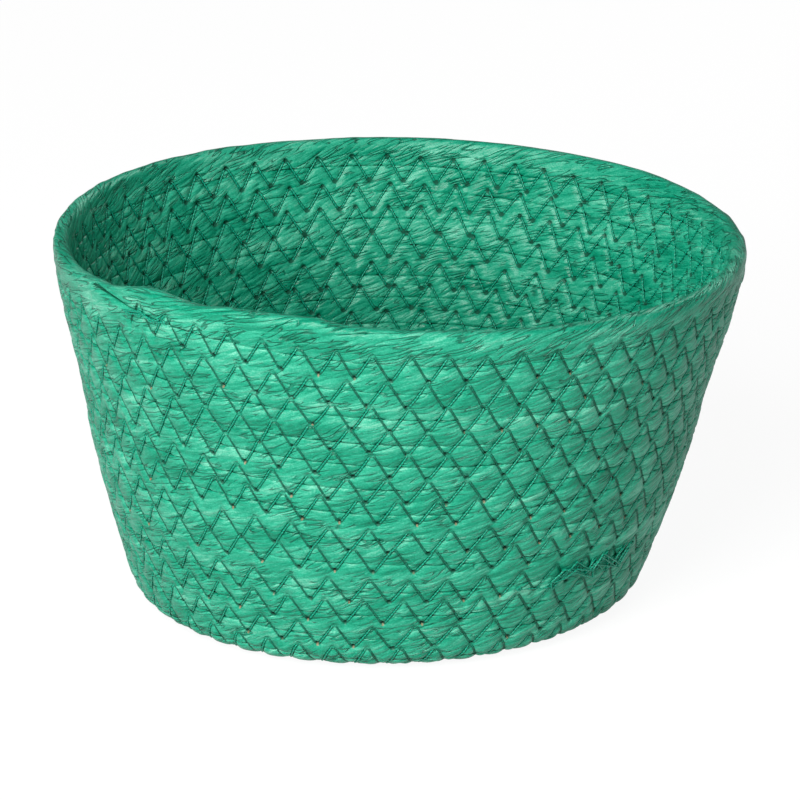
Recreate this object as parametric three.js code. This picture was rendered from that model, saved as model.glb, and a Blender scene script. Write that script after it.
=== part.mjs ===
// Round storage basket, in millimetres, +Z up, standing on the origin.
// One twisted-paper rope is wound flat for the base and on up the flaring wall. Each turn is sewn
// to the turn before it by a zigzag lockstitch: needle thread outside, bobbin thread inside.
import * as THREE from 'three';

// The basket's outer form
const rimRadius = 100;          // outside of the rope's last turn, at its end
const rimHeight = 111;          // top of the last turn, at the rope's end
const footLean = degrees(18.4); // how far the wall leans out of upright, just above the base
const rimLean = degrees(8.9);   // and at the rim, so that the wall is slightly bowed
const cornerRadius = 5.3;       // bend from the base into the wall, at the middle of the rope
const baseShiftX = -5.4;        // a hand-guided coil: its base lies off the rim's centre
const baseShiftY = 2.7;
const rimDipX = -5.7;           // and its rim dips to one side, by this much at the rim radius
const rimDipY = -0.9;

// The rope, squeezed by its stitches into a flat band that stands on edge in the wall
const ropeWidth = 8.3;          // along the wall, from turn to turn
const turnGap = 0.5;            // clear space between turns
const ropeThickness = 5;        // through the wall, from flat to flat
const flatShare = 0.5;          // each flat's share of the rope's width
const rimWidth = 8.7;           // the last turn has no stitches above it and keeps its full width
const endAzimuth = degrees(210);
const stepsPerTurn = 24;
const stepsInTip = 2;           // the rope's end is thinned over these steps
const tipWidth = 2;
const tipThickness = 3;
const startRadius = 4.8;        // the middle of the rope, where the coil begins
const stretchGap = 0.3;         // between two stretches of rope that meet face to face

// The sewing
const threadWidth = 0.7;
const threadSeat = 0.3;         // clear space between a thread and the rope under it
const stitchBite = 6.5;         // width of the zigzag, from turn to turn
const shortestHalfStitch = 5;   // along the seam, which spaces the stitches near the centre
const restartTurnsUp = 2;       // the threads ran out and were begun again, this far up the wall
const restartAzimuth = degrees(315);
const freeHalfSteps = 1;        // between the restart and the end of either thread
const tackSteps = 2;            // length of a row of tacking stitches sewn over a thread's end
const clearRun = 1.5;           // past the corner: from there the stitches outside clear the floor

function degrees(angle) {
  return angle * Math.PI / 180;
}

// How far an arc of this length goes out and up, as its heading turns from one angle to another
function run(length, fromHeading, toHeading) {
  const half = (toHeading - fromHeading) / 2;
  const mean = (toHeading + fromHeading) / 2;
  const chord = half === 0 ? length : length * Math.sin(half) / half;
  return { out: chord * Math.cos(mean), up: chord * Math.sin(mean) };
}

// The profile that the rope's middle follows: a flat, the corner's arc, and the wall's long arc
const upright = degrees(90);
const footHeading = upright - footLean;
const rimHeading = upright - rimLean;
const cornerRun = cornerRadius * footHeading;
const corner = run(cornerRun, 0, footHeading);
const wallRise = rimHeight - ropeThickness / 2 - corner.up;
const wallRun = wallRise / run(1, footHeading, rimHeading).up;
const wall = run(wallRun, footHeading, rimHeading);
const flatRun = rimRadius - ropeThickness / 2 * Math.sin(rimHeading) - wall.out - corner.out;

function profileAt(arc) {
  const flat = Math.min(arc, flatRun);
  const bent = Math.min(Math.max(arc - flatRun, 0), cornerRun);
  const risen = Math.max(arc - flatRun - cornerRun, 0);
  const bentHeading = footHeading * bent / cornerRun;
  const heading = bentHeading + (rimHeading - footHeading) * risen / wallRun;
  const inCorner = run(bent, 0, bentHeading);
  const inWall = run(risen, footHeading, heading);
  return {
    radius: flat + inCorner.out + inWall.out,
    height: ropeThickness / 2 + inCorner.up + inWall.up,
    heading,
  };
}

// Turns are counted from the coil's centre, and steps backwards from the rope's end
const rimSwell = rimWidth - ropeWidth;
const profileRun = flatRun + cornerRun + wallRun;
const allTurns = (profileRun - rimSwell) / ropeWidth - 1 / 2;
const tipTurns = stepsInTip / stepsPerTurn;

function turnsAt(step) {
  return allTurns - step / stepsPerTurn;
}

function easedShare(value, from, to) {
  const share = Math.min(Math.max((value - from) / (to - from), 0), 1);
  return share * share * (3 - 2 * share);
}

// A turn keeps its full width above once no later turn is sewn to it
function swellAt(turns) {
  return rimSwell * easedShare(turns, allTurns - 1 - tipTurns, allTurns - 1);
}

function seamArc(turns) {
  return ropeWidth * (turns - 1 / 2) + swellAt(turns - 1);
}

function ropeSection(turns) {
  const tipShare = easedShare(turns, allTurns - tipTurns, allTurns);
  const under = seamArc(turns);
  const over = ropeWidth * (turns + 1 / 2) + swellAt(turns);
  const width = (over - under) * (1 - tipShare) + tipWidth * tipShare;
  const thickness = ropeThickness * (1 - tipShare) + tipThickness * tipShare;
  return { arc: under + width / 2, width: width - turnGap, thickness };
}

// The place of a point that lies so far up the profile and so far off it, outwards positive, on
// the radial plane of a step. The base is shifted and the rim dips by the basket's own skew.
function placeAt(step, arc, outward) {
  const { radius, height, heading } = profileAt(arc);
  const far = radius + outward * Math.sin(heading);
  const high = height - outward * Math.cos(heading);
  const azimuth = endAzimuth + degrees(360) * step / stepsPerTurn;
  const x = far * Math.cos(azimuth);
  const y = far * Math.sin(azimuth);
  const share = high / rimHeight;
  return new THREE.Vector3(
    x + baseShiftX * (1 - share),
    y + baseShiftY * (1 - share),
    high + share * (rimDipX * x + rimDipY * y) / rimRadius,
  );
}

// A closed tube through rings of points, with a fan of triangles over each end
function tubeThrough(rings) {
  const sides = rings[0].length;
  const positions = rings.flat().flatMap((point) => point.toArray());
  const faces = [];
  for (let ring = 0; ring + 1 < rings.length; ring++) {
    for (let side = 0; side < sides; side++) {
      const next = (side + 1) % sides;
      const here = ring * sides;
      const there = here + sides;
      faces.push(here + side, there + side, there + next, here + side, there + next, here + next);
    }
  }
  const last = (rings.length - 1) * sides;
  for (let side = 1; side + 1 < sides; side++) {
    faces.push(0, side, side + 1, last, last + side + 1, last + side);
  }
  const geometry = new THREE.BufferGeometry();
  geometry.setAttribute('position', new THREE.Float32BufferAttribute(positions, 3));
  geometry.setIndex(faces);
  return geometry;
}

// One ring of the rope: points towards the neighbouring turns, flats towards inside and outside
function ropeRing(step) {
  const { arc, width, thickness } = ropeSection(turnsAt(step));
  const corner = flatShare * width / 2;
  const outline = [
    [width / 2, 0],
    [corner, thickness / 2],
    [-corner, thickness / 2],
    [-width / 2, 0],
    [-corner, -thickness / 2],
    [corner, -thickness / 2],
  ];
  return outline.map(([along, outward]) => placeAt(step, arc + along, outward));
}

// A stretch of rope from one step to a later one, drawn back at both ends by half the gap
function ropeStretch(fromStep, toStep) {
  const rings = [];
  for (let step = fromStep; step > toStep; step--) {
    rings.push(ropeRing(step));
  }
  rings.push(ropeRing(toStep));
  drawBack(rings[0], rings[1]);
  drawBack(rings[rings.length - 1], rings[rings.length - 2]);
  return rings;
}

function drawBack(endRing, nextRing) {
  endRing.forEach((point, i) => {
    const inwards = nextRing[i].clone().sub(point).setLength(stretchGap / 2);
    point.add(inwards);
  });
}

// The least distance between points of one turn and points of the next
function leastGap(rings) {
  let least = Infinity;
  rings.forEach((ring, i) => {
    const facing = rings.slice(i + stepsPerTurn - 1, i + stepsPerTurn + 2).flat();
    for (const point of ring) {
      for (const other of facing) {
        least = Math.min(least, point.distanceTo(other));
      }
    }
  });
  return least;
}

// Where a stitch pierces the rope, over or under a seam, on the rope's flat. Half steps lie
// midway between two rings, because the rope runs straight from ring to ring.
function stitchPoint(halfStep, side, across, lifted) {
  const rings = [Math.floor(halfStep / 2), Math.ceil(halfStep / 2)];
  const points = rings.map((step) => {
    const seam = seamArc(turnsAt(step));
    const arc = seam + across;
    const bend = profileAt(seam + stitchBite / 2).heading - profileAt(seam - stitchBite / 2).heading;
    const bridge = Math.max(side * bend, 0) * stitchBite / 4;
    const outward = ropeThickness / 2 + threadSeat + threadWidth / 2 + bridge + lifted;
    return placeAt(step, arc, side * outward);
  });
  return points[0].add(points[1]).divideScalar(2);
}

// A zigzag from one half step to a later one, as a tube of three sides with mitred bends
function zigzag(fromHalf, toHalf, side, lifted = 0) {
  const points = [];
  const outsides = [];
  let over = 1;
  for (let half = fromHalf; half >= toHalf;) {
    const across = over * stitchBite / 2;
    points.push(stitchPoint(half, side, across, lifted));
    const raised = stitchPoint(half, side, across, lifted + threadWidth);
    outsides.push(raised.sub(points[points.length - 1]).normalize());
    const halfStepLength = profileAt(seamArc(turnsAt(half / 2))).radius * degrees(180) / stepsPerTurn;
    half -= Math.max(1, Math.ceil(shortestHalfStitch / halfStepLength - 1 / 4));
    over = -over;
  }
  return points.map((point, i) => {
    const before = points[Math.max(i - 1, 0)];
    const after = points[Math.min(i + 1, points.length - 1)];
    const advance = after.clone().sub(before).normalize();
    const leg = (i > 0 ? point.clone().sub(before) : after.clone().sub(point)).normalize();
    const sideways = outsides[i].clone().cross(advance).normalize();
    const mitre = 1 / Math.max(Math.abs(leg.dot(advance)), 1 / 3);
    const ring = [[1, -1], [-1, -1], [0, 1]].map(([wide, high]) => point.clone()
      .addScaledVector(sideways, wide * mitre * threadWidth / 2)
      .addScaledVector(outsides[i], high * threadWidth / 2));
    return ring;
  });
}

// The whole basket, piece by piece. The sewing ends in half steps, midway along the rope's tip.
const startStep = Math.floor((allTurns - startRadius / ropeWidth) * stepsPerTurn);
const wallStep = Math.ceil((allTurns - flatRun / ropeWidth) * stepsPerTurn);
const rimStep = stepsPerTurn;
const tipStep = 0;
const firstSeamStep = startStep - stepsPerTurn;
const outsideTurns = (flatRun + cornerRun + clearRun) / ropeWidth + 1 / 2;
const outsideStep = Math.floor((allTurns - outsideTurns) * stepsPerTurn);
const stepsToRestart = Math.round((restartAzimuth - endAzimuth) / degrees(360) * stepsPerTurn);
const wholeTurnsDown = Math.floor((outsideStep - stepsToRestart) / stepsPerTurn) - restartTurnsUp;
const restartHalf = 2 * (wholeTurnsDown * stepsPerTurn + stepsToRestart);
const sewnEndHalf = stepsInTip;
const outside = 1;
const inside = -1;

const paper = { color: 0x36a07f, roughness: 0.55, metalness: 0 };
const thread = { color: 0x0f6f54, roughness: 0.35, metalness: 0 };
const basket = new THREE.Group();

function addPiece(name, rings, finish) {
  const mesh = new THREE.Mesh(tubeThrough(rings), new THREE.MeshStandardMaterial(finish));
  mesh.name = name;
  basket.add(mesh);
}

const ropeStretches = {
  base_coil: ropeStretch(startStep, wallStep),
  wall_coil: ropeStretch(wallStep, rimStep),
  rim_turn: ropeStretch(rimStep, tipStep),
};
for (const [name, rings] of Object.entries(ropeStretches)) {
  addPiece(name, rings, paper);
}
const turnsOfRope = [...ropeStretches.base_coil, ...ropeStretches.wall_coil.slice(1),
  ...ropeStretches.rim_turn.slice(1)];
console.log(`rope: ${((startStep - tipStep) / stepsPerTurn).toFixed(2)} turns,`
  + ` least gap to itself ${leastGap(turnsOfRope).toFixed(3)} mm`);

// Under the base the needle thread lies sunk in the paper, and only its length on the wall is a
// solid.
const lowerEndHalf = restartHalf + freeHalfSteps;
const upperStartHalf = restartHalf - freeHalfSteps;
addPiece('bobbin_thread_lower', zigzag(2 * firstSeamStep, lowerEndHalf, inside), thread);
addPiece('bobbin_thread_upper', zigzag(upperStartHalf, sewnEndHalf, inside), thread);
addPiece('needle_thread_lower', zigzag(2 * outsideStep, lowerEndHalf, outside), thread);
addPiece('needle_thread_upper', zigzag(upperStartHalf, sewnEndHalf, outside), thread);

// Tacking stitches lie over the threads where they were begun again and where the rope ends
const overThread = threadWidth + threadSeat;
const restartTack = zigzag(restartHalf + tackSteps, restartHalf - tackSteps, outside, overThread);
addPiece('restart_tack', restartTack, thread);
const endTack = zigzag(sewnEndHalf + 2 * tackSteps, sewnEndHalf, outside, overThread);
addPiece('rope_end_tack', endTack, thread);

// The origin is under the middle of the basket's own box
const middle = new THREE.Box3().setFromObject(basket).getCenter(new THREE.Vector3());
basket.position.set(-middle.x, -middle.y, 0);

export default basket;
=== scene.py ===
"""Looks of a round storage basket, coiled from one twisted-paper rope and sewn turn to turn with
a zigzag lockstitch. Lengths are in metres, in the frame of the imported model."""

import bpy
import numpy as np
from mathutils import Matrix, Vector


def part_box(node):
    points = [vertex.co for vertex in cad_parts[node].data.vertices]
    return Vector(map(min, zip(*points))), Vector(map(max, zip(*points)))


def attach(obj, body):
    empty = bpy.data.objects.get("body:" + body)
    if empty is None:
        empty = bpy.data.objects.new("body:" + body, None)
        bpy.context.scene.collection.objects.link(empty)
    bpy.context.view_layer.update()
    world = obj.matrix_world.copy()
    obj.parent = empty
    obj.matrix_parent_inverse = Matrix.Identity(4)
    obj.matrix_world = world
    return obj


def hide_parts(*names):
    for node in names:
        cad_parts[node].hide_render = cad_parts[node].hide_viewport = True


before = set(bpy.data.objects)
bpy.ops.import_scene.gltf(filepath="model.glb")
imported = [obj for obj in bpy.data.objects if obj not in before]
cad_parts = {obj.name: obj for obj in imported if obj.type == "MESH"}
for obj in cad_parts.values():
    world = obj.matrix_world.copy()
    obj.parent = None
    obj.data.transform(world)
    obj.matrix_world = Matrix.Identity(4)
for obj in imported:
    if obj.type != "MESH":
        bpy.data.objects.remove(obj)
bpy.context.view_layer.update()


# Base coil
# The basket is one rope of dyed paper, twisted loosely from a wide strip, so that long folds run
# it at a slant. Its first turns are wound flat from the centre outwards and sewn to each other
# through their sides, which squeezes the soft rope into a flat band.
mm = 0.001
rim_radius = 100 * mm
rim_height = 111 * mm
foot_lean = np.radians(18.4)
rim_lean = np.radians(8.9)
corner_radius = 5.3 * mm
base_shift = np.array([-5.4, 2.7]) * mm
rim_dip = np.array([-5.7, -0.9]) * mm
rope_width = 8.3 * mm
rope_thickness = 5 * mm
rim_width = 8.7 * mm
end_azimuth = np.radians(210)
start_radius = 4.8 * mm


def arc_run(length, from_heading, to_heading):
    """How far an arc goes out and up: its chord, length * sin(h) / h where h is half of the
    turning, laid along the mean of its first and last headings."""
    half = (to_heading - from_heading) / 2
    mean = (to_heading + from_heading) / 2
    chord = length * np.sinc(half / np.pi)
    return chord * np.cos(mean), chord * np.sin(mean)


foot_heading = np.pi / 2 - foot_lean
rim_heading = np.pi / 2 - rim_lean
corner_run = corner_radius * foot_heading
corner_out, corner_up = arc_run(corner_run, 0, foot_heading)
wall_rise = rim_height - rope_thickness / 2 - corner_up
wall_run = wall_rise / arc_run(1, foot_heading, rim_heading)[1]
wall_out = arc_run(wall_run, foot_heading, rim_heading)[0]
flat_run = rim_radius - rope_thickness / 2 * np.sin(rim_heading) - wall_out - corner_out
rim_swell = rim_width - rope_width
all_turns = (flat_run + corner_run + wall_run - rim_swell) / rope_width - 1 / 2
wall_hollow = 1.1 * mm
hollow_below_rim = 45 * mm
hollow_arc = flat_run + corner_run + wall_run - hollow_below_rim
hollow_reach = 16 * mm


def profile(arc):
    """Radius, height and heading of the rope's middle at an arc length from the coil's centre:
    a flat, then the arc of the corner, then the long arc of the wall, drawn in by its slight
    hollow: the hollow's depth times exp(-(distance / reach)^2)."""
    flat = np.minimum(arc, flat_run)
    bent = np.clip(arc - flat_run, 0, corner_run)
    risen = np.maximum(arc - flat_run - corner_run, 0)
    bent_heading = foot_heading * bent / corner_run
    heading = bent_heading + (rim_heading - foot_heading) * risen / wall_run
    bent_out, bent_up = arc_run(bent, 0, bent_heading)
    risen_out, risen_up = arc_run(risen, foot_heading, heading)
    hollow = wall_hollow * np.exp(-((arc - hollow_arc) / hollow_reach) ** 2)
    return flat + bent_out + risen_out - hollow, rope_thickness / 2 + bent_up + risen_up, heading


def eased(value, start, end):
    """3t^2 - 2t^3, where t goes from 0 at the start to 1 at the end and stays there."""
    share = np.clip((value - start) / (end - start), 0, 1)
    return share * share * (3 - 2 * share)


def value_noise(x, y, seed):
    """Smooth noise of about plus or minus 1: seeded random numbers at whole x and y, and between
    them the four around a point blended by eased shares."""
    size = 512
    lattice = np.random.default_rng(seed).uniform(-1, 1, (size, size))
    column = np.floor(x).astype(int)
    row = np.floor(y).astype(int)
    right = eased(x - column, 0, 1)
    up = eased(y - row, 0, 1)
    near, far = column % size, (column + 1) % size
    low, high = row % size, (row + 1) % size
    under = lattice[near, low] * (1 - right) + lattice[far, low] * right
    over = lattice[near, high] * (1 - right) + lattice[far, high] * right
    return under * (1 - up) + over * up


# Turns are counted from the coil's centre. A seam has the number of the turn above it. The rope
# was guided by hand, so each seam runs a little above or below an even coil: by these lengths at
# the front of the seam below the rim, at the back, at the front one turn down, and so on. The
# front is a sixth of a turn before the rope's end.
end_to_front = 1 / 6
front_turns = all_turns - end_to_front
seam_rises = np.array([
    -0.6, -0.6, -1.3, -0.4, -1.5, -0.4, -1.5, -0.1, 0.1, -1.1, 0.5, 0.4,
    0.7, 0.6, 0.7, 0.5, 0.4, -0.2, -1, -1, -1.1, -0.8, -0.6, 0,
]) * mm
half_turns = front_turns - np.arange(len(seam_rises)) / 2
rise_fade_past_end = 0.4
rise_fade_below = 0.5
seam_wander = 0.3 * mm
wanders_per_turn = 11
wander_loss_past_end = 0.6
wander_fade_past_end = 0.1

# Round the rope's end the seam climbs to the top of the rim. On from there the top of the rim
# itself dips at the back and again before it comes round to the end.
end_turns = all_turns + np.array([
    -0.14, -0.08, -0.03, 0, 0.03, 0.06, 0.17, 0.24, 0.29, 0.33, 0.39, 0.45,
    0.855, 0.87, 0.885, 0.9, 0.914, 0.924, 0.936, 0.947, 0.96, 0.973, 0.99,
])
end_rises = np.array([
    0, 0.5, 1.2, 2.2, 0.7, 0.3, 0, -0.7, -1.3, -1, -0.6, 0,
    0, 1.2, 1, 0.3, -0.3, -1.6, -1.9, -1.6, 0, 0.5, 0,
]) * mm
tip_turns = 0.055
tip_width = 0.8 * mm
tip_thickness = 2 * mm
gap_spread = 0.5 * mm
gaps_per_turn = 90
widest_gap = 0.06 * mm
swell_turns = 1 / 12
wall_turns = flat_run / rope_width
hub_radius = 0.4 * mm


def seam_arc(turns):
    """Where two turns would meet in an even coil: half a width below the turn above, and higher
    by the rim's swell where that turn is the rim."""
    swell = rim_swell * eased(turns, all_turns - swell_turns, all_turns)
    return rope_width * (turns - 1 / 2) + swell


def seam_line(turns):
    """The seam as it really runs: its rises fade out below the lowest of them and past the
    rope's end, and it wanders from its second turn on, but less past the end."""
    rise = np.interp(turns, half_turns[::-1], seam_rises[::-1])
    rise = rise * (1 - eased(turns, all_turns, all_turns + rise_fade_past_end))
    rise = rise * eased(turns, half_turns[-1] - rise_fade_below, half_turns[-1])
    lost = wander_loss_past_end * eased(turns, all_turns, all_turns + wander_fade_past_end)
    held = eased(turns, 1, 2) * (1 - lost)
    wander = seam_wander * held * value_noise(turns * wanders_per_turn, 0 * turns, 11)
    return seam_arc(turns) + rise + wander + np.interp(turns, end_turns, end_rises)


def rope_section(turns):
    """Arc length of the rope's middle, its width and its thickness. The rope fills the band from
    one seam to the next, or from the hub at its start, less a gap that comes and goes on the wall,
    and thins over its tip."""
    tip_share = eased(turns, all_turns - tip_turns, all_turns)
    edges = []
    for seam, side in ((turns, 1), (turns + 1, -1)):
        gap = gap_spread * value_noise(seam * gaps_per_turn, 0 * seam, 15)
        gap = np.minimum(gap, np.where(seam < wall_turns + 1, -widest_gap, widest_gap))
        edges.append(np.maximum(seam_line(seam) + side * gap / 2, hub_radius))
    width = (edges[1] - edges[0]) * (1 - tip_share) + tip_width * tip_share
    thickness = rope_thickness * (1 - tip_share) + tip_thickness * tip_share
    return edges[0] + width / 2, width, thickness


def place(turns, arc, outward, centring=(0, 0)):
    """Points on the radial plane of these turns: radius + outward * sin(heading) from the axis,
    height - outward * cos(heading) up. The base is then shifted and the rim dips, each by its
    share of the height."""
    radius, height, heading = profile(arc)
    far = radius + outward * np.sin(heading)
    high = height - outward * np.cos(heading)
    azimuth = end_azimuth + 2 * np.pi * (all_turns - turns)
    x = far * np.cos(azimuth)
    y = far * np.sin(azimuth)
    share = high / rim_height
    return np.stack([
        x + base_shift[0] * (1 - share) + centring[0],
        y + base_shift[1] * (1 - share) + centring[1],
        high + share * (rim_dip[0] * x + rim_dip[1] * y) / rim_radius,
    ], axis=-1)


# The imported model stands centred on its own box, which its last turn spans from side to side:
# at each step by one of two corners of its outline, given in shares of width and thickness.
steps_per_turn = 24
cad_gap = 0.5 * mm
cad_corner_across = np.array([0.5, 0.25])
cad_corner_outward = np.array([0, 0.5])
cad_turns = all_turns - np.arange(2, steps_per_turn + 1)[:, None] / steps_per_turn
cad_arc = seam_arc(cad_turns) + rim_width / 2 + (rim_width - cad_gap) * cad_corner_across
cad_points = place(cad_turns, cad_arc, rope_thickness * cad_corner_outward).reshape(-1, 3)
frame_low, frame_high = np.array(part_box("rim_turn"))
centring = ((frame_low + frame_high) - (cad_points.min(0) + cad_points.max(0)))[:2] / 2

# The stitches between one half turn and the next, from the front of the seam below the rim down,
# and how far the zigzag lies above its seam at each half turn. On the base the stitches are
# counted by their length.
stitches_in_half_turns = np.array([
    30.01, 28.57, 28.53, 27.91, 28.07, 27.39, 27.17, 27.29, 26.72, 25.84, 25.84, 25.87,
    24.93, 24.72, 24.3, 24.08, 23.4, 23.23, 23.1, 23.01, 22.4, 22.3, 21.2,
])
stitch_drifts = np.array([
    -1.2, -1, -0.8, -1.6, 0, -0.3, 0.7, 0, 0, 0, -0.5, 0,
    0.6, 0, -0.6, 0.4, 1.2, 0.8, 0.2, 0.8, 1.2, 0.8, 0.4, 0,
]) * mm

# Stitches are numbered up the coil, from a number at the front of the seam below the rim that
# leaves enough for all those before it. On round the rim the count goes on without a thread.
front_stitch = 800
front_phase = 0.29
stitches_past_front = 70
stitch_length = 9.8 * mm
stitch_bite = 7.3 * mm
bite_spread = 0.08
first_seam = start_radius / rope_width + 1
last_seam = all_turns - 0.03

curl_turns = -0.3
tightest_bend = 5 * mm
mark_step = 0.05
base_marks = np.arange(half_turns[-1] - mark_step, curl_turns, -mark_step)
base_radii = np.maximum(rope_width * base_marks, tightest_bend)
base_counts = mark_step * 2 * np.pi * base_radii / stitch_length
mark_turns = np.concatenate([[all_turns + 1], half_turns, base_marks])
mark_counts = np.concatenate([[0, stitches_past_front], stitches_in_half_turns, base_counts])
mark_phases = front_stitch + front_phase + stitches_past_front - np.cumsum(mark_counts)
feed_spread = 0.05
feed_reach = 1.7


def stitch_phase(turns):
    """Stitches sewn up to a point of a seam. Whole numbers are the tops of the zigzag. The feed
    of the machine makes them a little uneven."""
    phase = np.interp(turns, mark_turns[::-1], mark_phases[::-1])
    return phase + feed_spread * value_noise(phase / feed_reach, 0 * phase, 12)


# Tables over the whole coil, and of its needle holes, two to a stitch: how far each lies above its
# seam, and how far the thread from it to the next is bowed. Every other thread sags a little.
table_size = 40000
most_holes = 2000
table_turns = np.linspace(curl_turns, all_turns, table_size)
table_radii = np.maximum(profile(rope_width * table_turns)[0], tightest_bend)
table_phases = stitch_phase(table_turns)
hole_numbers = np.arange(most_holes)
hole_jitter = np.random.default_rng(13).uniform(-bite_spread, bite_spread, most_holes)
hole_turns = np.interp(hole_numbers / 2, table_phases, table_turns)
zigzag_centre = np.interp(hole_turns, half_turns[::-1], stitch_drifts[::-1])
hole_rises = (-1.0) ** hole_numbers * stitch_bite / 2 * (1 + hole_jitter) + zigzag_centre
hole_spread = 0.08
bow_spread = 0.25 * mm
even_sag = 0.15 * mm
bows = np.random.default_rng(14).uniform(-bow_spread, bow_spread, most_holes)
bows[::2] -= even_sag


def stitch_across(phase):
    """How far a thread lies above its seam: level over each hole, which are by turns above and
    below the seam, and between them a line bowed by 4 * bow * share * (1 - share)."""
    leg = np.floor(2 * phase).astype(int)
    share = np.clip((2 * phase - leg - hole_spread) / (1 - 2 * hole_spread), 0, 1)
    line = hole_rises[leg] * (1 - share) + hole_rises[leg + 1] * share
    return line + 4 * bows[leg] * share * (1 - share)


table_stitch = 2 * np.pi * table_radii / np.gradient(table_phases, table_turns)
far_away = 40 * mm
tuck_turns = 0.07
tuck_sharpness = 3.2


def near_stitches(seam, arc):
    """For points near a seam: their distance from its thread, negative beneath it, or from the
    seam itself under the rope's end, the number of the nearest needle hole, how far they lie along
    the seam from hole number 0, in half stitches and in length per half stitch, and how far they
    lie above the seam."""
    count = 2 * stitch_phase(np.minimum(seam, all_turns))
    above = arc - seam_line(seam)
    half_stitch = np.interp(seam, table_turns, table_stitch) / 2
    steepness = np.cos(np.arctan2(stitch_bite, half_stitch))
    unsewn = far_away * ((seam > last_seam) | (seam < first_seam))
    line = (above - stitch_across(count / 2)) * steepness + unsewn
    tucked = (seam > all_turns - tuck_turns) & (seam < all_turns) & (np.abs(above) < np.abs(line))
    line = np.where(tucked, above * tuck_sharpness, line)
    return line, np.rint(count), count, half_stitch, above + unsewn


def superellipse(count, power, top_power):
    """A closed outline |x|^p + |y|^p = 1 with its own p for the half above x = 0, which starts
    at x = -1 and goes by y = 1, with more points on the faces towards y = 1 and y = -1."""
    fine_count = 4000
    side_weight = 0.55
    angle = np.linspace(0, 2 * np.pi, fine_count)
    exponent = 2 / np.where(np.cos(angle) > 0, power, top_power)
    x = -np.sign(np.cos(angle)) * np.abs(np.cos(angle)) ** exponent
    y = np.sign(np.sin(angle)) * np.abs(np.sin(angle)) ** exponent
    steps = np.abs(np.diff(x)) + side_weight * np.abs(np.diff(y))
    weight = np.concatenate([[0], np.cumsum(steps)])
    wanted = np.linspace(0, weight[-1], count + 1)[:-1]
    return np.interp(wanted, weight, x), np.interp(wanted, weight, y)


# The rope's outline: the turns before its end between which it changes to the rim's, the powers
# of the outlines, and the length over which each end of the rope is drawn to a point, all but
# the smallest share, so that its last faces have a size. The surface's relief fades with it.
rim_blend = np.array([1.06, 0.94])
wall_power = 11
rim_top_power = 2.6
closing_run = 3 * mm
closed_range = (0.002, 0.995)
relief_range = (0, 0.5)

# Its surface: the seams press each face in by the seat. From there it rises in pillows between
# the threads, lies in a groove under each and in a pit at each needle hole. Outside, every other
# thread is sunk deeper in a narrower groove, and the others have a wider painted shadow beside
# them. A pair says where something begins and where it is complete: how squarely the paper
# faces out or in, how far it lies from the next thread up, and how far above the rope's middle,
# in widths.
facing_range = (0.25, 0.8)
bare_range = (4 * mm, 12 * mm)
free_range = (-0.3, 0.2)
unseated_range = (-0.1, 0.3)
seat = 0.25 * mm
pillow_height = 0.52 * mm
pillow_reach = 1.5 * mm
groove_depth = 0.25 * mm
groove_width = 0.45 * mm
sunken_deeper = 0.4
sunken_narrower = 0.25
edge_shadow = 0.15
hole_depth = 0.9 * mm
hole_width = 0.5 * mm
loose_hole = 0.4
fold_slant = np.tan(np.radians(15))
fold_width = 2.1 * mm
fold_held = 0.5
fold_held_reach = 0.8 * mm
side_folds = 0.25

# Lengths along the rope are counted from half a turn on from the coil's centre
length_table = np.cumsum(np.gradient(table_turns) * 2 * np.pi * table_radii)
length_table -= np.interp(0.5, table_turns, length_table)


def paper_folds(along, around, width):
    """Long folds of the twisted strip, as noise stretched along a line that slants across the
    rope: wide soft ones, and between them narrow ones that are sharp at the crest."""
    sway = 1.2 * mm * value_noise(along / (31 * mm), around * 0, 21)
    slanted = around + fold_slant * along + sway
    wide = value_noise(along / (26 * mm), slanted / (width * 2.3), 22)
    narrow = 1 - 2 * np.abs(value_noise(along / (15 * mm), slanted / width, 23))
    return 0.55 * wide + 0.45 * narrow


def set_attribute(mesh, name, domain, values):
    """Gives the mesh an attribute with these values at its points or faces."""
    layer = mesh.attributes.new(name, "FLOAT", domain)
    layer.data.foreach_set("value", np.asarray(values, np.float32).ravel())


def set_uv(mesh, name, u, v):
    """Gives the mesh a UV map with these values at its face corners."""
    layer = mesh.uv_layers.new(name=name)
    layer.data.foreach_set("uv", np.column_stack([u, v]).astype(np.float32).ravel())


def tube_mesh(name, points, uv_name, along, around, whole):
    """A smooth tube through rings of points, closed at both ends, and the points of its sides'
    faces. Its UV map holds how far its corners lie along it and around it. Where the last side
    meets the first, that is the whole way round."""
    rings, count = points.shape[:2]
    ring = np.arange(rings - 1)[:, None]
    side = np.arange(count)
    following = (side + 1) % count
    quads = np.stack([ring * count + side, ring * count + following,
                      (ring + 1) * count + following, (ring + 1) * count + side], axis=-1)
    first_cap = side[::-1]
    last_cap = (rings - 1) * count + side
    mesh = bpy.data.meshes.new(name)
    mesh.from_pydata(points.reshape(-1, 3), [],
                     quads.reshape(-1, 4).tolist() + [first_cap.tolist(), last_cap.tolist()])
    mesh.polygons.foreach_set("use_smooth", np.ones(len(mesh.polygons), bool))
    corners = np.concatenate([quads.ravel(), first_cap, last_cap])
    meeting = np.zeros(quads.shape, bool)
    meeting[:, -1, 1:3] = True
    meeting = np.append(meeting, np.zeros(2 * count, bool))
    length, girth, whole_girth = (np.broadcast_to(values, (rings, count)).ravel()[corners]
                                  for values in (along, around, whole))
    set_uv(mesh, uv_name, length, np.where(meeting, whole_girth, girth))
    return mesh, quads.reshape(-1, 4)


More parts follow.
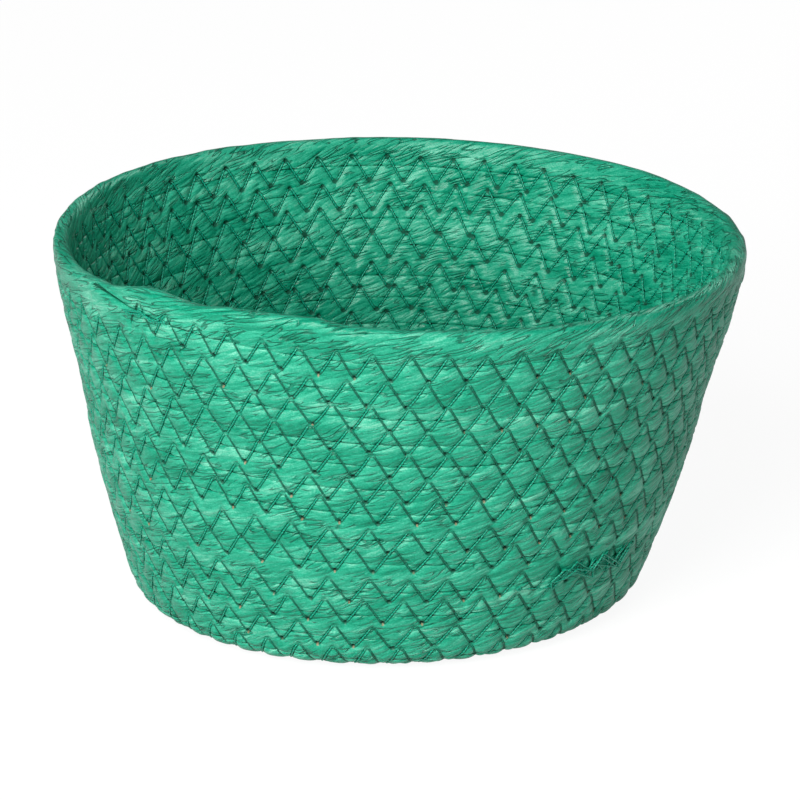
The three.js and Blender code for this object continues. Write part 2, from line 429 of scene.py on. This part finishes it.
def sharp_caps(mesh, rings, count):
    """Marks the edges of a tube's first and last rings as sharp, so that its flat ends don't
    darken its sides."""
    ends = np.empty(2 * len(mesh.edges), np.int32)
    mesh.edges.foreach_get("vertices", ends)
    ring = ends.reshape(-1, 2) // count
    sharp = (ring[:, 0] == ring[:, 1]) & ((ring[:, 0] == 0) | (ring[:, 0] == rings - 1))
    mesh.attributes.new("sharp_edge", "BOOLEAN", "EDGE").data.foreach_set("value", sharp)


def rope_piece(name, from_turns, to_turns, step, count, fold_height):
    """A stretch of the rope as a closed tube: its outline at equal steps along the rope, raised
    into pillows between the threads and into folds along its twist, and sunk under the threads
    and at the needle holes. Its paper reads the distances from these as attributes."""
    ends = np.interp([from_turns, to_turns], table_turns, length_table)
    rings = int(round((ends[1] - ends[0]) / step)) + 1
    along = np.linspace(ends[0], ends[1], rings)[:, None]
    turns = np.interp(along, length_table, table_turns)
    arc, width, thickness = rope_section(turns)
    on_rim = eased(turns, *(all_turns - rim_blend))
    wall_x, wall_y = superellipse(count, wall_power, wall_power)
    rim_x, rim_y = superellipse(count, wall_power, rim_top_power)
    from_start = along - length_table[0]
    from_tip = length_table[-1] - along
    closed = np.clip(np.minimum(from_start, from_tip) / closing_run, *closed_range)
    closing = np.sqrt(1 - (1 - closed) ** 2)
    x = (wall_x * (1 - on_rim) + rim_x * on_rim) * width / 2 * closing
    sewn = 1 - on_rim * eased(x / width, *unseated_range)
    y = (wall_y * (1 - on_rim) + rim_y * on_rim) * (thickness / 2 - seat * sewn) * closing
    tangent_x = np.roll(x, -1, axis=1) - np.roll(x, 1, axis=1)
    tangent_y = np.roll(y, -1, axis=1) - np.roll(y, 1, axis=1)
    scale = np.hypot(tangent_x, tangent_y)
    normal_x, normal_y = -tangent_y / scale, tangent_x / scale
    sides = np.hypot(np.roll(x, -1, axis=1) - x, np.roll(y, -1, axis=1) - y)
    around = np.cumsum(sides, axis=1) - sides

    stitches = [near_stitches(seam, arc + x) for seam in (turns, turns + 1)]
    (low, low_hole, low_count, *_), (high, high_hole, high_count, *_) = stitches
    nearest = np.minimum(np.abs(low), np.abs(high))
    facing = eased(np.abs(normal_y), *facing_range)
    free = eased(high, *bare_range) * eased(x / width, *free_range)
    pillow = pillow_height * (1 - np.exp(-(nearest / pillow_reach) ** 2)) * (1 - free)
    leg = np.floor(np.where(np.abs(low) < np.abs(high), low_count, high_count))
    sunken = (leg % 2) * (y > 0)
    depth = groove_depth * (1 + sunken * sunken_deeper)
    groove = depth * np.exp(-(nearest / (groove_width * (1 - sunken * sunken_narrower))) ** 2)
    from_low, from_high = (
        np.hypot((place_in - hole) * half_stitch, above - np.interp(hole, hole_numbers, hole_rises))
        for _, hole, place_in, half_stitch, above in stitches)
    of_above = from_high < from_low
    from_hole = np.where(of_above, from_high, from_low)
    tight = np.where(of_above == (y > 0), 1, loose_hole)
    pit = hole_depth * tight * np.exp(-(from_hole / hole_width) ** 2)
    folds = paper_folds(along, around, fold_width)
    held = 1 - fold_held * np.exp(-(nearest / fold_held_reach) ** 2)
    folded = fold_height * folds * held * (side_folds + (1 - side_folds) * facing)
    grounded = np.cos(profile(arc + x)[2]) ** 2 * (y > 0) * facing
    raised = facing * (pillow - groove - pit) + folded - (pillow_height + fold_height) * grounded
    raised = raised * eased(closing, *relief_range)
    points = place(turns, arc + x + raised * normal_x, y + raised * normal_y, centring)

    whole = around[:, -1:] + sides[:, -1:]
    mesh, faces = tube_mesh(name, points, "rope", along, around, whole)
    half_width = width / 2 * closing
    from_seam = np.minimum(half_width + x, half_width - x + far_away * on_rim)
    # Outside, the threads that are not sunk read as nearer than they are, which widens the painted
    # shadow beside them
    shadowed = 1 - edge_shadow * ((leg % 2) == 0) * (y > 0)
    for attribute, values in (("thread_below", low * shadowed), ("thread_above", high * shadowed),
                              ("fold", folds), ("outward", y / rope_thickness),
                              ("on_rim", on_rim), ("from_seam", from_seam)):
        set_attribute(mesh, attribute, "POINT", np.broadcast_to(values, x.shape))

    # Each face measures from the hole nearest to it, of the seam above it or the one below.
    hole = np.where(of_above, high_hole, low_hole)[:-1].reshape(-1, 1)
    chosen = of_above[:-1].reshape(-1, 1)
    besides, aboves = (np.where(chosen, second, first) for first, second in zip(*[
        ((np.broadcast_to(place_in, x.shape).ravel()[faces] - hole)
         * np.broadcast_to(half_stitch, x.shape).ravel()[faces],
         above.ravel()[faces] - np.interp(hole, hole_numbers, hole_rises))
        for _, _, place_in, half_stitch, above in stitches]))
    on_caps = np.full(2 * count, far_away)
    set_uv(mesh, "hole", np.append(besides, on_caps), np.append(aboves, on_caps))
    set_attribute(mesh, "lower_hole", "FACE", np.append(of_above[:-1], [False, False]))
    sharp_caps(mesh, rings, count)
    mesh.update()
    piece = bpy.data.objects.new(name, mesh)
    bpy.context.scene.collection.objects.link(piece)
    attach(piece, "root")
    return piece


class Signal:
    """One output among a material's nodes. Sums, products and the like of signals and numbers
    add Math nodes, and node() adds any other kind."""

    def __init__(self, tree, socket=None):
        self.tree = tree
        self.socket = socket

    def node(self, kind, settings, values, output=0):
        """Adds a node of this type, gives it its settings, then its sockets' values or links."""
        added = self.tree.nodes.new(kind)
        for key, value in settings.items():
            if key == "stops":
                for place_on_ramp, colour in value[1:-1]:
                    added.color_ramp.elements.new(place_on_ramp).color = (*colour, 1)
                ends = (added.color_ramp.elements[0], added.color_ramp.elements[-1])
                for element, (place_on_ramp, colour) in zip(ends, (value[0], value[-1])):
                    element.position = place_on_ramp
                    element.color = (*colour, 1)
            else:
                setattr(added, key, value)
        for key, value in values.items():
            socket = next(s for s in added.inputs if s.identifier == key)
            if isinstance(value, Signal):
                self.tree.links.new(value.socket, socket)
            else:
                socket.default_value = value
        return Signal(self.tree, added.outputs[output])

    def output(self, name):
        """Another output of the node that this signal comes from."""
        return Signal(self.tree, self.socket.node.outputs[name])

    def attribute(self, name):
        """The mesh's attribute of this name."""
        return self.node("ShaderNodeAttribute", {"attribute_name": name}, {}, output="Fac")

    def uv(self, name):
        """The two values of the mesh's UV map of this name."""
        both = self.node("ShaderNodeUVMap", {"uv_map": name}, {})
        first = self.node("ShaderNodeSeparateXYZ", {}, {"Vector": both})
        return first, first.output("Y")

    def math(self, operation, first, second=0.0):
        """The result of this operation of a Math node on two signals or numbers."""
        return self.node("ShaderNodeMath", {"operation": operation},
                         {"Value": first, "Value_001": second})

    def surface(self, kind="ShaderNodeOutputMaterial"):
        """Makes this signal the surface of its material, or of the world."""
        end = self.tree.nodes.new(kind)
        self.tree.links.new(self.socket, end.inputs["Surface"])

    def __add__(self, other):
        return self.math("ADD", self, other)

    def __sub__(self, other):
        return self.math("SUBTRACT", self, other)

    def __mul__(self, other):
        return self.math("MULTIPLY", self, other)

    def __truediv__(self, other):
        return self.math("DIVIDE", self, other)

    def __radd__(self, other):
        return self.math("ADD", other, self)

    def __rsub__(self, other):
        return self.math("SUBTRACT", other, self)

    def __abs__(self):
        return self.math("ABSOLUTE", self)


def ramp(signal, start, end):
    """A signal from 0, where the given one is at start, to 1 at end, eased at both."""
    return signal.node("ShaderNodeMapRange", {"interpolation_type": "SMOOTHSTEP"},
                       {"Value": signal, "From Min": start, "From Max": end})


def mixed(share, first, second):
    """A colour between two, by a share of the second."""
    return share.node("ShaderNodeMix", {"data_type": "RGBA"}, {
        "Factor_Float": share, "A_Color": first, "B_Color": second}, output=2)


def grain(u, v, along, across, detail, seed):
    """Noise around 0.5 with grains so long along the rope and so wide across it."""
    vector = u.node("ShaderNodeCombineXYZ", {}, {"X": u / along, "Y": v / across, "Z": seed})
    return u.node("ShaderNodeTexNoise", {}, {
        "Vector": vector, "Scale": 1.0, "Detail": detail, "Roughness": 0.55})


def new_material(name):
    """An empty node material and the signal that its nodes are made from."""
    material = bpy.data.materials.new(name)
    material.use_nodes = True
    material.node_tree.nodes.clear()
    return material, Signal(material.node_tree)


# Linear colours. The dye goes from the first to the fourth; the palest is partly the dye's own
# light places and partly a painted highlight on the crumpled paper. Bare paper shows where it is
# rubbed off. The last two are painted shade: in the needle holes, and in lines, slits and creases.
paper_dark = (0.0005, 0.125, 0.065)
paper_mid = (0.002, 0.27, 0.152)
paper_soft = (0.03, 0.39, 0.238)
paper_light_and_highlight = (0.19, 0.60, 0.42)
paper_bare = (0.36, 0.24, 0.13, 1)
painted_hole_shade = (0.001, 0.022, 0.013, 1)
painted_crease_shade = (0.0005, 0.075, 0.04, 1)

# The strip's marks run along the rope, at the slant of its folds or at the steeper one of its
# pleats, and bend a little.
pleat_slant = np.tan(np.radians(28))
bend_size = 2.5 * mm
paper, nodes = new_material("dyed_paper")
u, v = nodes.uv("rope")
bend = (grain(u, v, along=24 * mm, across=9 * mm, detail=0.0, seed=3.0) - 0.5) * bend_size
slanted = v + u * fold_slant + bend
steeper = v + u * pleat_slant + bend
fibre = grain(u, slanted, along=6 * mm, across=0.34 * mm, detail=1.0, seed=1.0)
crepe = grain(u, v, along=0.5 * mm, across=0.4 * mm, detail=1.0, seed=2.0)
streak = grain(u, slanted, along=16 * mm, across=0.9 * mm, detail=2.0, seed=5.0)
crumple = grain(u, slanted, along=1.5 * mm, across=0.5 * mm, detail=1.0, seed=6.0)
wrinkle = grain(u, slanted, along=16 * mm, across=1.7 * mm, detail=0.3, seed=7.0)
pleat = grain(u, steeper, along=9 * mm, across=1.6 * mm, detail=0.3, seed=8.0)
blotch = grain(u, v, along=40 * mm, across=7 * mm, detail=2.0, seed=9.0)
patch = grain(u, v, along=13 * mm, across=4 * mm, detail=1.0, seed=17.0)
other_patch = grain(u, v, along=9 * mm, across=4 * mm, detail=1.0, seed=18.0)
fold = nodes.attribute("fold")
lower_hole = nodes.attribute("lower_hole")
on_rim = nodes.attribute("on_rim")
from_thread = nodes.math("MINIMUM", abs(nodes.attribute("thread_below")),
                         abs(nodes.attribute("thread_above")))

# Dark lines lie where a noise crosses its middle, in some patches only: painted shade in the
# paper's wrinkles and pleats. More of them are on the rim, whose folds show. The lines also part
# lighter facets of the paper from darker ones, a painted shading of how each is tilted. The
# dark line along each seam is painted shade in the slit between two turns.
line_width = (0.0, 0.035)
facet_edge = (0.47, 0.53)
seam_shade_width = (0.08 * mm, 0.3 * mm)
shaded_wrinkle = (1 - ramp(abs(wrinkle - 0.5), *line_width)) * ramp(patch + on_rim * 0.07, 0.5, 0.58)
shaded_pleat = (1 - ramp(abs(pleat - 0.5), *line_width)) * ramp(other_patch + on_rim * 0.09, 0.54, 0.62)
from_seam = nodes.attribute("from_seam")
seam = (1 - ramp(from_seam, *seam_shade_width)) * ramp(patch + on_rim * 0.2, 0.4, 0.5)
facet_shading = ramp(wrinkle, *facet_edge) + ramp(pleat, *facet_edge)

# How light the paper is: each kind of mark has its own weight. The facets' weight is painted
# shading, and the folds' weight, lighter on their crests and darker in their valleys, is partly
# dye rubbed off the crests and partly painted light and shade.
tone = (0.5 + (fibre - 0.5) * 0.25 + (crepe - 0.5) * 0.4 + (streak - 0.5) * 0.4
        + (crumple - 0.5) * 0.35 + (facet_shading - 1) * 0.09 + (blotch - 0.5) * 0.65 + fold * 0.12)
colour = nodes.node("ShaderNodeValToRGB", {
    "stops": [(0.1, paper_dark), (0.38, paper_mid), (0.6, paper_soft), (0.9, paper_light_and_highlight)]},
    {"Fac": tone})

# The needle's holes are torn wider at the lower ends of the stitches outside and at their upper
# ends inside, and are painted dark as painted shade. Under some of the former the paper is rubbed
# bare of its dye. Inside, the threads pull the paper into dents at their lower ends, darkened
# with painted shade. Beside each thread the paper is darkened with a painted shadow in the
# creases there. Of each pair of lengths, a mark is full up to the first and gone at the second.
crease_width = (0.27 * mm, 0.5 * mm)
crease_wider_inside = 0.04 * mm
crease_clear_of_hole = (0.3 * mm, 0.8 * mm)
pit_width = (0.17 * mm, 0.4 * mm)
pit_narrower_inside = 0.12 * mm
dent_width = (0.1 * mm, 1.1 * mm)
fleck_width = (0.2 * mm, 0.42 * mm)
fleck_below_hole = 0.6 * mm
fray_size = 0.5 * mm
tear_along = 0.4
rubbed_range = (0.52, 0.6)
outside = ramp(nodes.attribute("outward"), -0.1, 0.1)
inside = 1 - outside
torn = 1 - abs(outside - lower_hole) * (0.55 + outside * 0.3) - inside * 0.4
beside_hole, above_hole = nodes.uv("hole")
frayed = (grain(u, v, along=0.8 * mm, across=0.6 * mm, detail=1.0, seed=19.0) - 0.5) * fray_size
from_middle = beside_hole * beside_hole * tear_along + above_hole * above_hole
from_hole = nodes.math("SQRT", from_middle) + frayed
pit = (1 - ramp(from_hole + inside * pit_narrower_inside, *pit_width)) * torn
shaded_dent = (1 - ramp(from_hole, *dent_width)) * lower_hole * inside
shaded_crease = 1 - ramp(from_thread - inside * crease_wider_inside, *crease_width)
shaded_crease = shaded_crease * (1 - outside * (1 - torn) * (1 - ramp(from_hole, *crease_clear_of_hole)))
rubbed = grain(u, v, along=5 * mm, across=5 * mm, detail=0.0, seed=13.0)
above_fleck = above_hole + fleck_below_hole
from_fleck = nodes.math("SQRT", beside_hole * beside_hole + above_fleck * above_fleck) + frayed
fleck = (1 - ramp(from_fleck, *fleck_width)) * ramp(rubbed, *rubbed_range) * lower_hole * outside
# The lines, the seams' slits, the dents and the creases beside the threads take the painted shade,
# and the holes a darker painted shade; the bare flecks are the paper's own wear.
line_shade_share = 0.58 + on_rim * 0.1
for share in (shaded_wrinkle * line_shade_share, shaded_pleat * line_shade_share, seam * 0.95, shaded_dent * 0.7, shaded_crease * 0.9):
    colour = mixed(share, colour, painted_crease_shade)
colour = mixed(fleck * 0.65, colour, paper_bare)
colour = mixed(pit, colour, painted_hole_shade)

# Height and roughness, again with a weight for each kind of mark
height = (fibre * 0.04 + crepe * 0.12 + crumple * 0.12 + streak * 0.1 + abs(wrinkle - 0.5) * 1.2
          + abs(pleat - 0.5) * 0.9 - shaded_wrinkle * 0.8 - shaded_pleat * 0.8 - shaded_crease * 0.25 - pit * 0.4)
bump = nodes.node("ShaderNodeBump", {}, {
    "Strength": 0.75, "Distance": 0.64 * mm, "Height": height})
roughness = 0.34 + (crepe - 0.5) * 0.25 + shaded_crease * 0.2 + pit * 0.6 + shaded_dent * 0.3
nodes.node("ShaderNodeBsdfPrincipled", {}, {
    "Base Color": colour, "Roughness": roughness,
    "Specular IOR Level": 0.3, "Normal": bump}).surface()

# The rope's first end is twisted to a point and curled up in the middle of the base
base_piece = rope_piece("base_coil_paper", curl_turns, wall_turns, step=0.8 * mm, count=44,
                        fold_height=0.14 * mm)
base_piece.data.materials.append(paper)
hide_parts("base_coil")


# Wall coil
# The same rope climbs on in twelve more turns. Each is sewn to the turn before it at a slant,
# which makes the wall flare.
wall_stretches = 7
wall_fold_height = 0.16 * mm
rim_turns = all_turns - 1
for stretch in range(wall_stretches):
    ends = wall_turns + (rim_turns - wall_turns) * np.array([stretch, stretch + 1]) / wall_stretches
    wall_piece = rope_piece(f"wall_coil_paper_{stretch + 1}", *ends, step=0.56 * mm, count=48,
                            fold_height=wall_fold_height)
    wall_piece.data.materials.append(paper)
    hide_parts("wall_coil")


# Rim turn
# The last turn has no stitches above it, so it stays round and full, and its folds show. Its end
# is cut at a long slant and tucked in behind the turn before it.
rim_piece = rope_piece("rim_turn_paper", rim_turns, all_turns, step=0.5 * mm, count=60,
                       fold_height=0.3 * mm)
rim_piece.data.materials.append(paper)
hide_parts("rim_turn")


# Sewing threads
# Two polyester threads of a zigzag lockstitch, twisted of two plies and a little glossy. The
# needle thread lies outside and the bobbin thread inside, both through the same needle holes.
thread_radius = 0.26 * mm
thread_sides = 6
thread_lift = -0.03 * mm
thread_sink = 0.5 * mm
hole_dive = 1.3 * mm
dive_share = 0.05

# Where the points of a stitch lie, in shares of the way from its first hole to the next
leg_shares = np.array([0, 0.035, 0.08, 0.15, 0.3, 0.5, 0.7, 0.85, 0.92, 0.965])


def tube(name, centres, normals, leg_directions):
    """A thread as a closed tube along a path: a ring at each point, square to the path, whose
    first axis is square to the surface's normal and to the stitch's own direction."""
    path = np.gradient(centres, axis=0)
    path /= np.linalg.norm(path, axis=1, keepdims=True)
    sideways = np.cross(leg_directions, normals)
    sideways /= np.linalg.norm(sideways, axis=1, keepdims=True)
    upwards = np.cross(sideways, path)
    upwards /= np.linalg.norm(upwards, axis=1, keepdims=True)
    sideways = np.cross(path, upwards)
    angles = np.linspace(0, 2 * np.pi, thread_sides, endpoint=False)
    around = (np.cos(angles)[None, :, None] * sideways[:, None]
              + np.sin(angles)[None, :, None] * upwards[:, None])
    rings = centres[:, None] + thread_radius * around
    along = np.concatenate([[0], np.cumsum(np.linalg.norm(np.diff(centres, axis=0), axis=1))])
    shares = np.arange(thread_sides) / thread_sides
    mesh = tube_mesh(name, rings, "thread", along[:, None], shares, 1)[0]
    mesh.update()
    piece = bpy.data.objects.new(name, mesh)
    bpy.context.scene.collection.objects.link(piece)
    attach(piece, "root")
    piece.data.materials.append(thread)
    return piece


def on_paper(phases, acrosses, offs, side):
    """Points of a thread on the outside (1) or inside (-1) of the wall, at these stitches, so
    far above the seam and off the rope's flat, with the normals of that flat."""
    turns = np.interp(phases, table_phases, table_turns)
    arc = seam_line(turns) + acrosses
    heading = profile(arc)[2]
    lowered = (pillow_height + wall_fold_height) * np.cos(heading) ** 2 * (side > 0)
    off = side * (rope_thickness / 2 - seat - lowered + offs)
    centres = place(turns, arc, off, centring)
    normals = place(turns, arc, off + side * mm, centring) - centres
    return centres, normals / np.linalg.norm(normals, axis=-1, keepdims=True)


def stitched_thread(name, from_turns, to_turns, side):
    """A thread that runs from hole to hole and dives into each: its depth below the flat is the
    dive times exp(-(s / w)^2), with s the share of the stitch from the nearer hole. Outside, the
    stitches up to the left are pulled deeper into the paper, by the sink times 4 s (1 - s)."""
    ends = np.interp([from_turns, to_turns], table_turns, table_phases)
    numbers = np.arange(int(np.ceil(2 * ends[0])), int(np.floor(2 * ends[1])))
    leg, share = np.meshgrid(numbers, leg_shares, indexing="ij")
    beside = np.where(share == 0, 0, hole_spread + (1 - 2 * hole_spread) * share)
    phases = (leg + beside) / 2
    dive = hole_dive * np.exp(-(np.minimum(share, 1 - share) / dive_share) ** 2)
    sink = thread_sink * (leg % 2) * (side > 0) * 4 * share * (1 - share)
    centres, normals = on_paper(phases, stitch_across(phases), thread_lift - dive - sink, side)
    legs = np.diff(centres[:, 0], axis=0, append=centres[-1:, -1])
    directions = np.repeat(legs, len(leg_shares), axis=0)
    piece = tube(name, centres.reshape(-1, 3), normals.reshape(-1, 3), directions)
    set_attribute(piece.data, "sunken", "POINT", np.repeat((leg % 2) * (side > 0), thread_sides))
    return piece


thread_colour = (0.001, 0.2, 0.115, 1)
thread_lit_ply = (0.008, 0.4, 0.25, 1)
ply_length = 1.1 * mm
plies = 2
thread, nodes = new_material("thread")
u, v = nodes.uv("thread")
ply = nodes.math("SINE", (u / ply_length + v * plies) * (2 * np.pi))
bump = nodes.node("ShaderNodeBump", {}, {"Strength": 0.5, "Distance": 0.1 * mm, "Height": ply})
# The plies are lighter along their crests and darker between them, a painted light and shade of the
# twist on top of its bump
colour = mixed(ply * 0.35 + 0.45, thread_colour, thread_lit_ply)
# Threads sunk deeper into the paper are darkened with painted shade
colour = mixed(nodes.attribute("sunken") * 0.6, colour, painted_crease_shade)
nodes.node("ShaderNodeBsdfPrincipled", {}, {
    "Base Color": colour, "Roughness": 0.35, "Specular IOR Level": 0.35, "Normal": bump}).surface()

sewing_start = first_seam + 0.05
restart_steps_down = 223
restart_turns = all_turns - restart_steps_down / steps_per_turn
needle_lower = stitched_thread("needle_thread_lower_zigzag", sewing_start, restart_turns, 1)
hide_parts("needle_thread_lower")
needle_upper = stitched_thread("needle_thread_upper_zigzag", restart_turns, last_seam, 1)
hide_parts("needle_thread_upper")
bobbin_lower = stitched_thread("bobbin_thread_lower_zigzag", sewing_start, restart_turns, -1)
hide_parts("bobbin_thread_lower")
bobbin_upper = stitched_thread("bobbin_thread_upper_zigzag", restart_turns, last_seam, -1)
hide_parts("bobbin_thread_upper")


# Tacking stitches run to and fro over the place where the threads were begun again, in from a
# knot at its left, and in the same way, but without a knot, over the end of the rope.
tack_lift_mm = 0.15
tack_climb_mm = 0.12
tack_arch = 0.12 * mm
points_per_tack = 5
tack_rounding = 0.08
knot_radius = 0.7 * mm
knot_across = -1.5 * mm
knot_ahead = 1.1
knot_flatness = 0.7
points_per_loop = 7
loop_sizes = (0.5, 1.2)
loop_lifts_mm = (0.2, 0.8)


def tacked_thread(name, from_phase, passes, stitches, slack, reach, knot_loops):
    """A slack zigzag that lies on the paper, each pass a little off the others and above them.
    A knot, where it has one, is a tangle of loops before the first pass."""
    random = np.random.default_rng(31)
    there = np.arange(2 * stitches + 1)
    way = np.concatenate([there if i % 2 == 0 else there[::-1] for i in range(passes)])
    phases = from_phase - way / 2 + random.uniform(-slack, slack, len(way))
    acrosses = np.where(way % 2 == 0, -1, 1) * stitch_bite / 2 * random.uniform(*reach, len(way))
    offs = thread_lift + (tack_lift_mm + tack_climb_mm * np.arange(len(way)) / (2 * stitches)) * mm
    if knot_loops:
        angles = np.linspace(0, 2 * np.pi * knot_loops, points_per_loop * knot_loops)
        wobble = knot_radius * random.uniform(*loop_sizes, len(angles))
        ahead = from_phase + knot_ahead + wobble * np.cos(angles) / stitch_length
        phases = np.append(ahead, phases)
        acrosses = np.append(knot_across + wobble * np.sin(angles) * knot_flatness, acrosses)
        offs = np.append(thread_lift + random.uniform(*loop_lifts_mm, len(angles)) * mm, offs)
    steps = np.arange((len(phases) - 1) * points_per_tack + 1) / points_per_tack
    share = steps % 1
    rounded_steps = steps + tack_rounding * np.sin(2 * np.pi * share)
    numbers = np.arange(len(phases))
    phases, acrosses, offs = (np.interp(rounded_steps, numbers, values)
                              for values in (phases, acrosses, offs))
    centres, normals = on_paper(phases, acrosses, offs + tack_arch * np.sin(np.pi * share), 1)
    return tube(name, centres, normals, np.gradient(centres, axis=0))


restart_phase = float(np.interp(restart_turns, table_turns, table_phases))
restart_knot = tacked_thread("restart_tacking", restart_phase + 1.3, passes=9, stitches=2.5,
                             slack=0.35, reach=(0.25, 1.2), knot_loops=3)
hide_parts("restart_tack")
end_phase = float(np.interp(last_seam, table_turns, table_phases))
end_tacking = tacked_thread("rope_end_tacking", end_phase, passes=3, stitches=1.5,
                            slack=0.2, reach=(0.05, 0.4), knot_loops=0)
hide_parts("rope_end_tack")


# Floor
# A wide white sheet, just below the basket so that it doesn't cut into it. It is no part of the
# object.
def plain_sheet(name, corners):
    """A flat sheet with these four corners, which is only a stage for the basket."""
    mesh = bpy.data.meshes.new(name)
    mesh.from_pydata(corners, [], [(0, 1, 2, 3)])
    sheet = bpy.data.objects.new(name, mesh)
    bpy.context.scene.collection.objects.link(sheet)
    return sheet


floor_reach = 3.0
floor_depth = -0.3 * mm
floor = plain_sheet("floor", [(-floor_reach, -floor_reach, floor_depth),
                              (floor_reach, -floor_reach, floor_depth),
                              (floor_reach, floor_reach, floor_depth),
                              (-floor_reach, floor_reach, floor_depth)])

# It glows white to the camera and to mirrored rays, less a share that takes the shadow
floor_glow = 1.15
shadow_share = 0.2
mirrored_share = 0.3
white, nodes = new_material("white_floor")
camera_ray = nodes.node("ShaderNodeLightPath", {}, {}, output="Is Camera Ray")
mirrored_ray = camera_ray.output("Is Glossy Ray") + camera_ray.output("Is Transmission Ray")
seen_ray = camera_ray + mirrored_ray * mirrored_share
glow = nodes.node("ShaderNodeEmission", {}, {"Color": (1, 1, 1, 1), "Strength": floor_glow})
matt = nodes.node("ShaderNodeBsdfDiffuse", {}, {"Color": (0.6, 0.6, 0.6, 1)})
nodes.node("ShaderNodeMixShader", {}, {
    "Fac": seen_ray * (1 - shadow_share), "Shader": matt, "Shader_001": glow}).surface()
floor.data.materials.append(white)


# Light
# Soft lamps: a key from in front and to the left, a smaller one further to the left, one from above
# in front, and weak ones from the right and from behind. The room is white and dim.
def soft_lamp(name, where, size, power):
    """A square lamp at this place, turned to the middle of the basket."""
    lamp = bpy.data.lights.new(name, "AREA")
    lamp.size = size
    lamp.energy = power
    holder = bpy.data.objects.new(name, lamp)
    holder.location = where
    towards = np.array([0, 0, rim_height / 2]) - where
    holder.rotation_mode = "QUATERNION"
    holder.rotation_quaternion = Vector(towards).to_track_quat("-Z", "Y")
    bpy.context.scene.collection.objects.link(holder)


soft_lamp("key", (-0.42, -1.17, 0.5), size=0.5, power=7.3)
soft_lamp("side", (-0.9, -1.05, 0.55), size=0.35, power=6.6)
soft_lamp("top", (-0.36, -0.98, 1.0), size=0.6, power=13)
soft_lamp("fill", (0.9, -0.9, 0.17), size=0.5, power=1.8)
soft_lamp("back", (0.75, 1.05, 1.05), size=0.7, power=5)

# The room's light on the basket is weak, but the camera sees it white
room_light = 0.12
room_seen = 1.0
world = bpy.data.worlds.new("room")
bpy.context.scene.world = world
world.use_nodes = True
world.node_tree.nodes.clear()
nodes = Signal(world.node_tree)
camera_ray = nodes.node("ShaderNodeLightPath", {}, {}, output="Is Camera Ray")
room = nodes.node("ShaderNodeBackground", {}, {"Color": (1, 1, 1, 1), "Strength": room_light})
sight = nodes.node("ShaderNodeBackground", {}, {"Color": (1, 1, 1, 1), "Strength": room_seen})
nodes.node("ShaderNodeMixShader", {}, {
    "Fac": camera_ray, "Shader": room, "Shader_001": sight}).surface("ShaderNodeOutputWorld")
bpy.context.scene.view_settings.view_transform = "Standard"


# Camera
# A long lens that looks down over the rim and was held a little aslant. The lens and the point
# that it is aimed at are in pixels of the photo.
camera_elevation = np.radians(20.24)
camera_distance = 1.6
aim_height = 54 * mm
photo_width = 800
lens_pixels = 5556.8
aim_x = 402.35
aim_y = 403.24
camera_roll = np.radians(-0.9)
camera = bpy.data.objects.new("camera", bpy.data.cameras.new("camera"))
camera.data.sensor_width = 36
camera.data.lens = lens_pixels / photo_width * camera.data.sensor_width
camera.data.shift_x = (photo_width / 2 - aim_x) / photo_width
camera.data.shift_y = (aim_y - photo_width / 2) / photo_width
camera.location = (0, -camera_distance * np.cos(camera_elevation),
                   camera_distance * np.sin(camera_elevation) + aim_height)
tilt = Matrix.Rotation(np.pi / 2 - camera_elevation, 3, "X")
camera.rotation_mode = "QUATERNION"
camera.rotation_quaternion = (tilt @ Matrix.Rotation(camera_roll, 3, "Z")).to_quaternion()
bpy.context.scene.collection.objects.link(camera)
bpy.context.scene.camera = camera
